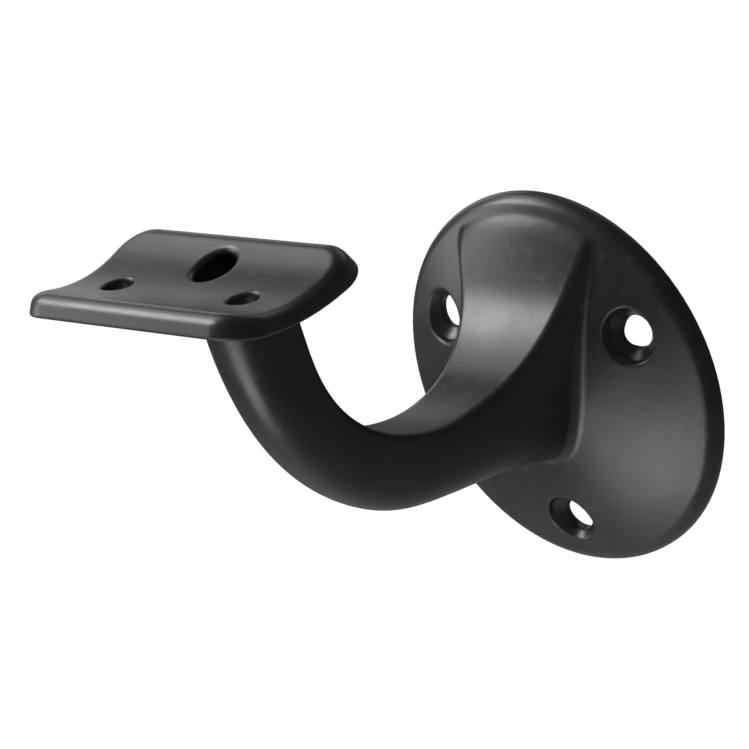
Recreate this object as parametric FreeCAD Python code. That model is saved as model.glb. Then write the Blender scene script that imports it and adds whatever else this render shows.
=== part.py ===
import FreeCAD, Part
import math
import os
from FreeCAD import Vector

os.makedirs("parts", exist_ok=True)

# Handrail bracket, one casting: a domed wall rosette, a J-shaped arm that
# grows out of it, and a troughed saddle that the handrail is screwed to.
# Frame: origin at the centre of the wall screws' circle on the wall plane,
# +Y into the wall, +X along the handrail, +Z up.  The shapes are drawn about
# the rosette's centre and moved to that frame last.  Sizes in millimetres.

# ---- rosette ----
rosette_radius = 35.0       # outer radius of the wall rosette
dome_radius = 95.0          # spherical radius of the rosette's face
edge_round = 3.0            # rolled edge between the dome and the rim
rim_land = 0.4              # straight rim below the rolled edge
shell_wall = 3.4            # wall of the hollow rosette
rim_seat = 3.8              # width of the flat ring that meets the wall

# ---- wall screw holes ----
wall_screw_count = 3
wall_screw_circle = 50.0    # diameter of the circle the holes stand on
wall_screw_bore = 5.8       # clearance for a 5 mm countersunk screw
wall_mouth_diameter = 9.8   # mouth of the countersink on the dome
wall_screw_land = 0.9       # straight wall between the mouth and the cone
wall_screw_drop = 0.7       # the circle's centre below the rosette's
wall_mouth_round = 0.4      # rounding of the mouths
first_screw_angle = -90.0   # the first hole is straight below the centre

# ---- saddle ----
rail_offset = 82.6          # wall to the middle of the handrail
seat_height = 47.2          # rosette centre to the lowest line of the trough
rail_radius = 25.5          # trough that takes a round rail
saddle_length = 52.2        # along the rail
saddle_front = 11.2         # trough's lowest line to its edge away from the wall
saddle_back = 14.8          # trough's lowest line to its edge on the wall side
saddle_web = 3.0            # thickness under the trough's lowest line
saddle_under_radius = 50.0  # the underside is flatter than the trough
saddle_corner = 6.5         # corner radius in plan
saddle_top_round = 2.4      # rounding over the trough's rim
saddle_land = 0.2           # straight rim between the two roundings

# ---- saddle screw holes ----
saddle_screw_spacing = 29.0
saddle_screw_bore = 5.2
slant_bore = 7.2            # slanted third hole, wall side of the trough
slant_offset = 7.8          # its mouth, measured from the trough's lowest line
slant_angle = 40.0          # from vertical, leaning to the wall on its way down
slant_mouth_round = 1.0     # rounding of its mouth
saddle_mouth_round = 0.4    # rounding of the two screw holes' mouths

# ---- arm ----
arm_half_width = 7.2        # below the saddle
arm_edge_round = 1.3        # edges of the arm's inner face
root_fillet = 2.2           # between the arm and the dome


def arc(a, m, b):
    return Part.Arc(a, m, b).toShape()


def line(a, b):
    return Part.LineSegment(a, b).toShape()


def bezier(*poles):
    curve = Part.BezierCurve()
    curve.setPoles(list(poles))
    return curve.toShape()


def revolve_profile(edges):
    """Solid of revolution about the Y axis from edges in the XY plane."""
    face = Part.Face(Part.Wire(edges))
    return face.revolve(Vector(0, 0, 0), Vector(0, 1, 0), 360)


def edges_between(body, first, second):
    """Edges shared by a face that passes one test and a face that passes the other."""
    found = []
    for edge in body.Edges:
        faces = body.ancestorsOfType(edge, Part.Face)
        if len(faces) != 2:
            continue
        a, b = faces[0].Surface, faces[1].Surface
        if (first(a) and second(b)) or (first(b) and second(a)):
            found.append(edge)
    return found


def is_sweep(surface):
    return isinstance(surface, Part.BSplineSurface)


def is_dome(surface):
    return isinstance(surface, Part.Sphere) and abs(surface.Radius - dome_radius) < 1e-6


def round_of(radius):
    """Test for a round wall or hole of this radius."""
    def test(surface):
        return isinstance(surface, Part.Cylinder) and abs(surface.Radius - radius) < 1e-6
    return test


def revolve_outline(*corners):
    """The same from the corners of a straight-sided outline."""
    points = [Vector(r, y, 0) for r, y in corners]
    return revolve_profile([line(points[i - 1], points[i]) for i in range(len(points))])


# ---- rosette ----
shoulder_angle = math.asin((rosette_radius - edge_round) / (dome_radius - edge_round))
dome_centre_y = -rim_land + (dome_radius - edge_round) * math.cos(shoulder_angle)


def dome_front(radius_out):
    """Y of the dome's face at a distance from the rosette's axis."""
    return dome_centre_y - math.sqrt(dome_radius ** 2 - radius_out ** 2)


def ball(radius):
    """Sphere about the dome's centre, its own axis upright."""
    return Part.makeSphere(radius, Vector(0, dome_centre_y, 0), Vector(0, 0, 1))


def rosette_blank():
    """Rim ring with its rolled edge, and the dome's cap on it."""
    shoulder = Vector(dome_radius * math.sin(shoulder_angle), 0, 0)
    shoulder.y = dome_front(shoulder.x)
    roll = Vector(rosette_radius - edge_round, -rim_land, 0)
    middle = (shoulder_angle + math.pi / 2) / 2
    rolled = roll + Vector(edge_round * math.sin(middle), -edge_round * math.cos(middle), 0)
    rim_front = Vector(rosette_radius, -rim_land, 0)
    rim_back = Vector(rosette_radius, 0, 0)
    centre = Vector(0, 0, 0)
    top = Vector(0, shoulder.y, 0)
    ring = revolve_profile([
        line(top, shoulder), arc(shoulder, rolled, rim_front),
        line(rim_front, rim_back), line(rim_back, centre), line(centre, top)])
    above_ring = Part.makeCylinder(rosette_radius, rosette_radius, top, Vector(0, -1, 0))
    return ring.fuse(ball(dome_radius).common(above_ring)).removeSplitter()


def rosette_cavity():
    """The hollow behind the dome, one wall thickness inside its face."""
    reach_out = rosette_radius - rim_seat
    well = Part.makeCylinder(reach_out, rosette_radius, Vector(0, 1, 0), Vector(0, -1, 0))
    return ball(dome_radius - shell_wall).common(well)


def wall_screw_cutter(angle):
    """Countersink and bore along Y, its mouth on the dome."""
    ring = wall_screw_circle / 2
    mouth_y = dome_front(ring)
    mouth = wall_mouth_diameter / 2
    bore = wall_screw_bore / 2
    cone_y = mouth_y + wall_screw_land
    cutter = revolve_outline(
        (0, mouth_y - mouth), (mouth, mouth_y - mouth), (mouth, cone_y),
        (bore, cone_y + mouth - bore), (bore, rim_land), (0, rim_land))
    cutter.translate(Vector(ring * math.cos(angle), 0, ring * math.sin(angle) - wall_screw_drop))
    return cutter


# ---- arm ----
# Stations from the saddle down and round to the wall.  Each row: middle of
# the inner face (y, z), middle of the outer face (y, z), half width, side
# fullness, nose fullness, drop of the inner face towards its edges.
# Below the saddle y is a share of the rail's offset, z of the seat's height
# and the half width of the arm's own.
SWEEP = [
    ((-0.800, 0.964), (-0.956, 0.975), 1.00, 0.78, 0.62, 0),
    ((-0.788, 0.773), (-0.935, 0.794), 1.00, 0.78, 0.62, 0),
    ((-0.772, 0.593), (-0.906, 0.540), 1.00, 0.78, 0.62, 0),
    ((-0.734, 0.424), (-0.852, 0.307), 0.99, 0.78, 0.62, 0),
    ((-0.666, 0.288), (-0.763, 0.095), 0.98, 0.78, 0.62, 0),
    ((-0.569, 0.191), (-0.623, -0.081), 0.97, 0.78, 0.62, 0),
    ((-0.460, 0.146), (-0.484, -0.148), 0.98, 0.76, 0.62, 0),
    ((-0.351, 0.153), (-0.351, -0.178), 1.04, 0.72, 0.62, 0),
]
# In the root, lengths are shares of the rosette's radius.
ROOT = [
    ((-0.571, 0.289), (-0.514, -0.291), 0.251, 0.66, 0.62, 0),
    ((-0.383, 0.429), (-0.271, -0.349), 0.303, 0.62, 0.60, 0.003),
    ((-0.251, 0.614), (-0.129, -0.371), 0.366, 0.56, 0.55, 0.014),
    ((-0.174, 0.789), (-0.043, -0.386), 0.411, 0.50, 0.50, 0.043),
    ((-0.111, 0.903), (0.043, -0.386), 0.429, 0.45, 0.50, 0.074),
    ((-0.034, 0.954), (0.143, -0.386), 0.434, 0.45, 0.50, 0.086),
]


def arm_section(inner, outer, half_width, side, nose, drop):
    a = Vector(0, inner[0], inner[1])
    b = Vector(0, outer[0], outer[1])
    depth = (b - a).Length
    down = (b - a).normalize()
    r = arm_edge_round
    flat = half_width - r
    ease = 0.55 * r
    slope = 2 * drop / flat
    stretch = math.hypot(1, slope)

    def at(u, v):
        return a + Vector(u, 0, 0) + down * v

    def side_edges(s):
        shoulder = drop + r
        corner = bezier(
            at(s * flat, drop), at(s * (flat + ease / stretch), drop + ease * slope / stretch),
            at(s * half_width, shoulder - ease), at(s * half_width, shoulder))
        flank = bezier(
            at(s * half_width, shoulder), at(s * half_width, shoulder + side * (depth - shoulder)),
            at(s * nose * half_width, depth), at(0, depth))
        return corner, flank
    face = bezier(at(-flat, drop), at(-flat / 3, -drop / 3), at(flat / 3, -drop / 3), at(flat, drop))
    right_corner, right_flank = side_edges(1)
    left_corner, left_flank = side_edges(-1)
    return Part.Wire([face, right_corner, right_flank, left_flank, left_corner])


def arm_loft():
    sections = []
    for inner, outer, width, side, nose, drop in SWEEP:
        inner = (inner[0] * rail_offset, inner[1] * seat_height)
        outer = (outer[0] * rail_offset, outer[1] * seat_height)
        sections.append(arm_section(inner, outer, width * arm_half_width, side, nose, drop))
    for inner, outer, width, side, nose, drop in ROOT:
        inner = (inner[0] * rosette_radius, inner[1] * rosette_radius)
        outer = (outer[0] * rosette_radius, outer[1] * rosette_radius)
        width *= rosette_radius
        sections.append(arm_section(inner, outer, width, side, nose, drop * rosette_radius))
    loft = Part.makeLoft(sections, True, False)
    side = 4 * rail_offset
    front_of_wall = Part.makeBox(side, side, side, Vector(-side / 2, -side, -side / 2))
    return loft.common(front_of_wall)


# ---- saddle ----
def saddle_plate():
    """Plate troughed for the rail, with rounded corners and rounded-over rims."""
    axis = Vector(-saddle_length / 2, -rail_offset, seat_height + rail_radius)
    under_axis = axis + Vector(0, 0, saddle_under_radius - saddle_web - rail_radius)
    front = -math.asin(saddle_front / rail_radius)
    back = math.asin(saddle_back / rail_radius)

    def outward(angle):
        return Vector(0, math.sin(angle), -math.cos(angle))

    def in_trough(angle):
        return axis + outward(angle) * rail_radius

    def below(angle):
        """Where the rim, square to the trough, meets the underside."""
        start = in_trough(angle) - under_axis
        along = start.dot(outward(angle))
        depth = -along + math.sqrt(along ** 2 - start.dot(start) + saddle_under_radius ** 2)
        return in_trough(angle) + outward(angle) * depth
    profile = Part.Wire([
        arc(in_trough(front), in_trough(0), in_trough(back)),
        line(in_trough(back), below(back)),
        arc(below(back), below(0), below(front)),
        line(below(front), in_trough(front))])
    plate = Part.Face(profile).extrude(Vector(saddle_length, 0, 0))
    plate = plate.makeFillet(saddle_corner, [e for e in plate.Edges if is_corner(e)])
    plate = plate.makeFillet(saddle_top_round, curved_face(plate, rail_radius).Edges)
    under_round = saddle_web - saddle_top_round - saddle_land
    return plate.makeFillet(under_round, curved_face(plate, saddle_under_radius).Edges)


def is_corner(edge):
    """Test for the plate's straight edges that don't run along the rail."""
    return isinstance(edge.Curve, Part.Line) and abs(edge.Curve.Direction.x) < 0.5


def curved_face(plate, radius):
    """The plate's face that is curved to this radius about the rail."""
    is_curved = round_of(radius)
    return [face for face in plate.Faces if is_curved(face.Surface)][0]


def saddle_screw_cutter(x):
    length = 4 * saddle_web
    foot = Vector(x, -rail_offset, seat_height - length / 2)
    return Part.makeCylinder(saddle_screw_bore / 2, length, foot)


def slant_cutter():
    """Slanted hole, its mouth in the trough and its foot behind the arm."""
    y = -rail_offset + slant_offset
    z = seat_height + rail_radius - math.sqrt(rail_radius ** 2 - slant_offset ** 2)
    lean = math.radians(slant_angle)
    down = Vector(0, math.sin(lean), -math.cos(lean))
    length = seat_height
    return Part.makeCylinder(slant_bore / 2, length, Vector(0, y, z) - down * length / 3, down)


# ---- casting ----
casting = rosette_blank().fuse(arm_loft())
casting = casting.makeFillet(root_fillet, edges_between(casting, is_sweep, is_dome))
casting = casting.fuse(saddle_plate())
casting = casting.cut(rosette_cavity())
for i in range(wall_screw_count):
    angle = math.radians(first_screw_angle + i * 360.0 / wall_screw_count)
    casting = casting.cut(wall_screw_cutter(angle))
for side in (-1, 1):
    casting = casting.cut(saddle_screw_cutter(side * saddle_screw_spacing / 2))
casting = casting.cut(slant_cutter())

is_trough = round_of(rail_radius)
mouths = edges_between(casting, is_dome, round_of(wall_mouth_diameter / 2))
casting = casting.makeFillet(wall_mouth_round, mouths)
mouths = edges_between(casting, is_trough, round_of(saddle_screw_bore / 2))
casting = casting.makeFillet(saddle_mouth_round, mouths)
mouths = edges_between(casting, is_trough, round_of(slant_bore / 2))
casting = casting.makeFillet(slant_mouth_round, mouths)
casting = casting.Solids[0].translated(Vector(0, 0, wall_screw_drop))
casting.exportStep("parts/bracket_casting.step")
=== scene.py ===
import math

import bmesh
import bpy
from mathutils import Matrix, Vector


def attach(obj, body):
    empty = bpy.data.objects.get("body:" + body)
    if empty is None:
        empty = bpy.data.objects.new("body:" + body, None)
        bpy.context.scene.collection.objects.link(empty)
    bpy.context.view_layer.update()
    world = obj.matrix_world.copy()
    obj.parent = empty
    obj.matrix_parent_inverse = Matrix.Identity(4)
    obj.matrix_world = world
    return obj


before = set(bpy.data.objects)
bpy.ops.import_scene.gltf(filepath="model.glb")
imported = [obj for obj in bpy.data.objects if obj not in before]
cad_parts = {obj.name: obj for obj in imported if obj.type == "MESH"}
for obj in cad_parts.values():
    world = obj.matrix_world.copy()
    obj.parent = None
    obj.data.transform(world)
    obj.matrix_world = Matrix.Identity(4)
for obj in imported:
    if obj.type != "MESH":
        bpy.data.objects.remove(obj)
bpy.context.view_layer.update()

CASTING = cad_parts["bracket_casting"]

# ---- camera: metres and degrees, turned from the front towards the right ----
EYE_TURN, EYE_RISE, EYE_ROLL = 47.020, 19.112, -11.840
EYE_PLACE = Vector((0.36194, -0.38273, 0.19057))
EYE_LENS, EYE_SENSOR = 150.96, 36.0
EYE_NEAR, EYE_FAR = 0.01, 20.0

# ---- studio ----
MIDDLE = Vector((0.0, -0.045, 0.01))
LAMP_DISTANCE = 0.9
FLOOR_DROP = 0.75
FLOOR_SIZE = 12.0
FLOOR_GREY = (0.8, 0.8, 0.8, 1.0)
FLOOR_GLOW = 0.92
WHITE = (1.0, 1.0, 1.0, 1.0)
ROOM_LIGHT = 0.13

# ---- neck web, and the slanted hole through it ----
NECK_HALF_WIDTH = 0.00715
NECK_FRONT, NECK_MIDDLE, NECK_BACK = -0.0706, -0.068, -0.06612
NECK_FOOT, NECK_TOP_FRONT, NECK_TOP_BACK = 0.0457, 0.0469, 0.0480
NECK_ROUND = 0.0013
SLANT_ANGLE = 40.0
SLANT_BORE = 0.0073
SLANT_CENTRE = Vector((0.0, -0.07261, 0.04651))
DRILL_LENGTH = 0.03

# ---- black powder coat: pattern sizes per metre, heights and reaches in metres ----
PEEL_SCALE, GRIT_SCALE, GRIT_SHARE = 900.0, 3600.0, 0.35
CLOUD_SCALE, SPOT_SCALE, WEAR_SCALE = 75.0, 420.0, 330.0
COAT_THICK = (0.014, 0.014, 0.0145, 1.0)
COAT_THIN = (0.024, 0.024, 0.0245, 1.0)
COAT_SPOT = (0.060, 0.060, 0.061, 1.0)
COAT_WORN = (0.085, 0.084, 0.083, 1.0)
SPOT_SHARE, WORN_SHARE = 0.45, 0.5
SATIN_LOW, SATIN_HIGH, SPOT_DULLS = 0.28, 0.36, 0.16
EDGE_REACH = 0.0008
GRAIN_STRENGTH, GRAIN_HEIGHT = 0.16, 0.0001


def direction(turn, rise):
    """Unit vector out from the bracket: turn from the front, rise from level, in degrees."""
    turn, rise = math.radians(turn), math.radians(rise)
    level = math.cos(rise)
    return Vector((math.sin(turn) * level, -math.cos(turn) * level, math.sin(rise)))


# ---- node helpers ----
def node(tree, kind, place, **values):
    made = tree.nodes.new(kind)
    made.location = place
    for name, value in values.items():
        setattr(made, name, value)
    return made


def set_inputs(made, **values):
    for name, value in values.items():
        made.inputs[name.replace("_", " ")].default_value = value


def group_of(name, inputs, outputs):
    """New node group with named sockets, and its two end nodes."""
    group = bpy.data.node_groups.new(name, "ShaderNodeTree")
    for socket, kind in inputs.items():
        group.interface.new_socket(socket, in_out="INPUT", socket_type="NodeSocket" + kind)
    for socket, kind in outputs.items():
        group.interface.new_socket(socket, in_out="OUTPUT", socket_type="NodeSocket" + kind)
    taken = node(group, "NodeGroupInput", (-900, 0))
    given = node(group, "NodeGroupOutput", (600, 0))
    return group, taken, given


def noise_on(tree, vector, place, scale, detail, rough):
    noise = node(tree, "ShaderNodeTexNoise", place)
    set_inputs(noise, Scale=scale, Detail=detail, Roughness=rough)
    tree.links.new(vector, noise.inputs["Vector"])
    return noise.outputs["Fac"]


def grain_group():
    """Powder coat's skin: a soft orange peel with a finer grit on it, as one height."""
    group, taken, given = group_of(
        "Powder grain", {"Vector": "Vector", "Grit": "Float"}, {"Height": "Float"})
    peel = noise_on(group, taken.outputs["Vector"], (-600, 100), PEEL_SCALE, 2.0, 0.5)
    grit = noise_on(group, taken.outputs["Vector"], (-600, -200), GRIT_SCALE, 1.0, 0.5)
    share = node(group, "ShaderNodeMath", (-300, -200), operation="MULTIPLY")
    group.links.new(grit, share.inputs[0])
    group.links.new(taken.outputs["Grit"], share.inputs[1])
    total = node(group, "ShaderNodeMath", (0, 0), operation="ADD")
    group.links.new(peel, total.inputs[0])
    group.links.new(share.outputs["Value"], total.inputs[1])
    group.links.new(total.outputs["Value"], given.inputs["Height"])
    return group


def cloud_group():
    """Uneven thickness of the coat: wide clouds, and small rubbed spots among them."""
    group, taken, given = group_of(
        "Coat clouds", {"Vector": "Vector"}, {"Cloud": "Float", "Spots": "Float"})
    cloud = noise_on(group, taken.outputs["Vector"], (-600, 100), CLOUD_SCALE, 4.0, 0.6)
    spread = node(group, "ShaderNodeMapRange", (-200, 100))
    set_inputs(spread, From_Min=0.32, From_Max=0.68)
    group.links.new(cloud, spread.inputs["Value"])
    spots = noise_on(group, taken.outputs["Vector"], (-600, -200), SPOT_SCALE, 3.0, 0.55)
    picked = node(group, "ShaderNodeMapRange", (-200, -200))
    set_inputs(picked, From_Min=0.60, From_Max=0.76)
    group.links.new(spots, picked.inputs["Value"])
    group.links.new(spread.outputs["Result"], given.inputs["Cloud"])
    group.links.new(picked.outputs["Result"], given.inputs["Spots"])
    return group


def wear_group():
    """Edges softened by the coat, and a mask of where hands and packing have rubbed them."""
    group, taken, given = group_of(
        "Edge wear", {"Vector": "Vector", "Reach": "Float"},
        {"Wear": "Float", "Soft Normal": "Vector"})
    soft = node(group, "ShaderNodeBevel", (-600, 200), samples=8)
    group.links.new(taken.outputs["Reach"], soft.inputs["Radius"])
    face = node(group, "ShaderNodeNewGeometry", (-600, -50))
    turn = node(group, "ShaderNodeVectorMath", (-300, 50), operation="DOT_PRODUCT")
    group.links.new(soft.outputs["Normal"], turn.inputs[0])
    group.links.new(face.outputs["Normal"], turn.inputs[1])
    edge = node(group, "ShaderNodeMapRange", (-50, 50))
    set_inputs(edge, From_Min=0.995, From_Max=0.86)
    group.links.new(turn.outputs["Value"], edge.inputs["Value"])
    broken = noise_on(group, taken.outputs["Vector"], (-600, -300), WEAR_SCALE, 4.0, 0.65)
    gaps = node(group, "ShaderNodeMapRange", (-300, -300))
    set_inputs(gaps, From_Min=0.42, From_Max=0.66)
    group.links.new(broken, gaps.inputs["Value"])
    rubbed = node(group, "ShaderNodeMath", (200, 0), operation="MULTIPLY")
    group.links.new(edge.outputs["Result"], rubbed.inputs[0])
    group.links.new(gaps.outputs["Result"], rubbed.inputs[1])
    group.links.new(rubbed.outputs["Value"], given.inputs["Wear"])
    group.links.new(soft.outputs["Normal"], given.inputs["Soft Normal"])
    return group


def mixed(tree, place, share, first, second):
    """Colour mix; first and second are colours or sockets."""
    mix = node(tree, "ShaderNodeMix", place, data_type="RGBA")
    tree.links.new(share, mix.inputs["Factor"])
    for socket, value in ((mix.inputs[6], first), (mix.inputs[7], second)):
        if isinstance(value, tuple):
            socket.default_value = value
        else:
            tree.links.new(value, socket)
    return mix.outputs[2]


def ranged(tree, place, value, low, high):
    spread = node(tree, "ShaderNodeMapRange", place)
    set_inputs(spread, To_Min=low, To_Max=high)
    tree.links.new(value, spread.inputs["Value"])
    return spread.outputs["Result"]


def black_coat():
    """Satin black powder coat: clouded, faintly grained, and rubbed a little at its edges."""
    coat = bpy.data.materials.new("Black powder coat")
    coat.use_nodes = True
    tree = coat.node_tree
    shader = tree.nodes["Principled BSDF"]
    set_inputs(shader, Metallic=0.0, IOR=1.5)
    place = node(tree, "ShaderNodeTexCoord", (-1500, 0)).outputs["Object"]
    clouds = node(tree, "ShaderNodeGroup", (-1200, 300), node_tree=cloud_group())
    wear = node(tree, "ShaderNodeGroup", (-1200, 0), node_tree=wear_group())
    wear.inputs["Reach"].default_value = EDGE_REACH
    grain = node(tree, "ShaderNodeGroup", (-1200, -300), node_tree=grain_group())
    grain.inputs["Grit"].default_value = GRIT_SHARE
    for effect in (clouds, wear, grain):
        tree.links.new(place, effect.inputs["Vector"])

    ground = mixed(tree, (-900, 400), clouds.outputs["Cloud"], COAT_THICK, COAT_THIN)
    faint = ranged(tree, (-900, 150), clouds.outputs["Spots"], 0.0, SPOT_SHARE)
    spotted = mixed(tree, (-600, 400), faint, ground, COAT_SPOT)
    thin = ranged(tree, (-900, -50), wear.outputs["Wear"], 0.0, WORN_SHARE)
    colour = mixed(tree, (-300, 400), thin, spotted, COAT_WORN)
    tree.links.new(colour, shader.inputs["Base Color"])

    satin = ranged(tree, (-600, 100), clouds.outputs["Cloud"], SATIN_LOW, SATIN_HIGH)
    rubbed = node(tree, "ShaderNodeMath", (-300, 100), operation="MULTIPLY_ADD")
    tree.links.new(faint, rubbed.inputs[0])
    rubbed.inputs[1].default_value = SPOT_DULLS
    tree.links.new(satin, rubbed.inputs[2])
    tree.links.new(rubbed.outputs["Value"], shader.inputs["Roughness"])

    bump = node(tree, "ShaderNodeBump", (-300, -200))
    set_inputs(bump, Strength=GRAIN_STRENGTH, Distance=GRAIN_HEIGHT)
    tree.links.new(grain.outputs["Height"], bump.inputs["Height"])
    tree.links.new(wear.outputs["Soft Normal"], bump.inputs["Normal"])
    tree.links.new(bump.outputs["Normal"], shader.inputs["Normal"])
    return coat


def neck_web(coat):
    """Web that fills the corner between the arm's top and the saddle's underside on the
    wall side, with the slanted hole left open through it."""
    wedge = bmesh.new()
    bmesh.ops.create_cube(wedge, size=1.0)
    for corner in wedge.verts:
        back, upper = corner.co.y > 0, corner.co.z > 0
        corner.co.x = math.copysign(NECK_HALF_WIDTH, corner.co.x)
        corner.co.y = NECK_BACK if back else NECK_FRONT
        corner.co.z = NECK_FOOT if not upper else (NECK_TOP_BACK if back else NECK_TOP_FRONT)
    upright = [e for e in wedge.edges if all(v.co.y > NECK_MIDDLE for v in e.verts)
               and abs(e.verts[0].co.x - e.verts[1].co.x) < 1e-6]
    bmesh.ops.bevel(wedge, geom=upright, offset=NECK_ROUND, offset_type="OFFSET",
                    affect="EDGES", segments=8, profile=0.5, material=-1)
    mesh = bpy.data.meshes.new("neck_web")
    wedge.to_mesh(mesh)
    wedge.free()
    web = bpy.data.objects.new("neck_web", mesh)
    bpy.context.scene.collection.objects.link(web)

    drill = bmesh.new()
    lean = Matrix.Rotation(math.radians(SLANT_ANGLE), 4, "X")
    bmesh.ops.create_cone(drill, cap_ends=True, segments=96, radius1=SLANT_BORE / 2,
                          radius2=SLANT_BORE / 2, depth=DRILL_LENGTH,
                          matrix=Matrix.Translation(SLANT_CENTRE) @ lean)
    tool = bpy.data.meshes.new("Drill")
    drill.to_mesh(tool)
    drill.free()
    bit = bpy.data.objects.new("Drill", tool)
    bpy.context.scene.collection.objects.link(bit)
    cut = web.modifiers.new("Slanted hole", "BOOLEAN")
    cut.operation, cut.object, cut.solver = "DIFFERENCE", bit, "EXACT"
    ready = web.evaluated_get(bpy.context.evaluated_depsgraph_get())
    shaped = bpy.data.meshes.new_from_object(ready)
    web.modifiers.clear()
    web.data = shaped
    bpy.data.objects.remove(bit)
    web.data.materials.clear()
    web.data.materials.append(coat)
    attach(web, "root")


def shown_coat():
    coat = black_coat()
    neck_web(coat)
    CASTING.data.materials.clear()
    CASTING.data.materials.append(coat)


def camera():
    """Looks along the rail from the front right, a little from above."""
    turn, roll = math.radians(EYE_TURN), math.radians(EYE_ROLL)
    back = direction(EYE_TURN, EYE_RISE)
    level = Vector((math.cos(turn), math.sin(turn), 0))
    above = back.cross(level)
    right = math.cos(roll) * level + math.sin(roll) * above
    up = math.cos(roll) * above - math.sin(roll) * level
    lens = bpy.data.cameras.new("Camera")
    lens.lens = EYE_LENS
    lens.sensor_width = EYE_SENSOR
    lens.clip_start, lens.clip_end = EYE_NEAR, EYE_FAR
    eye = bpy.data.objects.new("Camera", lens)
    bpy.context.scene.collection.objects.link(eye)
    turned = Matrix((right, up, back)).transposed()
    eye.matrix_world = Matrix.Translation(EYE_PLACE) @ turned.to_4x4()
    bpy.context.scene.camera = eye


def backdrop():
    """World that is white to the camera and a soft grey studio to everything else."""
    world = bpy.data.worlds.new("Studio")
    bpy.context.scene.world = world
    world.use_nodes = True
    tree = world.node_tree
    tree.nodes.clear()
    out = node(tree, "ShaderNodeOutputWorld", (400, 0))
    mix = node(tree, "ShaderNodeMixShader", (200, 0))
    ray = node(tree, "ShaderNodeLightPath", (0, 300))
    white = node(tree, "ShaderNodeBackground", (0, -150))
    white.inputs["Color"].default_value = WHITE
    white.inputs["Strength"].default_value = 1.0
    room = node(tree, "ShaderNodeBackground", (0, 0))
    room.inputs["Color"].default_value = WHITE
    room.inputs["Strength"].default_value = ROOM_LIGHT
    tree.links.new(ray.outputs["Is Camera Ray"], mix.inputs["Fac"])
    tree.links.new(room.outputs["Background"], mix.inputs[1])
    tree.links.new(white.outputs["Background"], mix.inputs[2])
    tree.links.new(mix.outputs["Shader"], out.inputs["Surface"])


def softbox(name, turn, rise, width, height, power):
    """Area lamp that faces the bracket from this direction, off camera."""
    out = direction(turn, rise)
    light = bpy.data.lights.new(name, "AREA")
    light.shape = "RECTANGLE"
    light.size, light.size_y = width, height
    light.energy = power
    box = bpy.data.objects.new(name, light)
    bpy.context.scene.collection.objects.link(box)
    box.rotation_euler = (-out).to_track_quat("-Z", "Y").to_euler()
    box.location = MIDDLE + out * LAMP_DISTANCE
    box.visible_camera = False


def floor():
    """Pale floor well below the bracket: white to the camera, matt to all other rays."""
    paper = bpy.data.materials.new("Floor paper")
    paper.use_nodes = True
    tree = paper.node_tree
    shader = tree.nodes["Principled BSDF"]
    shader.inputs["Base Color"].default_value = FLOOR_GREY
    shader.inputs["Roughness"].default_value = 0.9
    shader.inputs["Emission Color"].default_value = WHITE
    ray = node(tree, "ShaderNodeLightPath", (-600, 0))
    glow = node(tree, "ShaderNodeMath", (-300, 0), operation="MULTIPLY")
    glow.inputs[1].default_value = FLOOR_GLOW
    tree.links.new(ray.outputs["Is Camera Ray"], glow.inputs[0])
    tree.links.new(glow.outputs["Value"], shader.inputs["Emission Strength"])
    sheet = bmesh.new()
    bmesh.ops.create_grid(sheet, x_segments=1, y_segments=1, size=FLOOR_SIZE / 2)
    bmesh.ops.translate(sheet, verts=sheet.verts, vec=(0, 0, -FLOOR_DROP))
    mesh = bpy.data.meshes.new("Floor")
    sheet.to_mesh(mesh)
    sheet.free()
    mesh.materials.append(paper)
    ground = bpy.data.objects.new("Floor", mesh)
    bpy.context.scene.collection.objects.link(ground)


def studio():
    backdrop()
    floor()
    softbox("Key left", 296, 38, 0.34, 0.26, 2.3)
    softbox("Key bloom", 294, 41, 0.44, 0.48, 2.2)
    softbox("Upper left", 268, 48, 0.40, 0.40, 1.1)
    softbox("Tall left", 300, 8, 0.40, 0.45, 2.0)
    softbox("Low middle", 330, -12, 0.30, 0.30, 0.7)
    softbox("Low front", 345, -36, 0.50, 0.35, 2.1)
    softbox("Low right", 10, -20, 0.40, 0.40, 0.6)
    softbox("Behind left", 238, 15, 0.40, 0.50, 0.5)
    softbox("Behind high", 195, 35, 0.50, 0.40, 0.4)


bpy.context.scene.view_settings.view_transform = "Standard"
camera()
shown_coat()
studio()
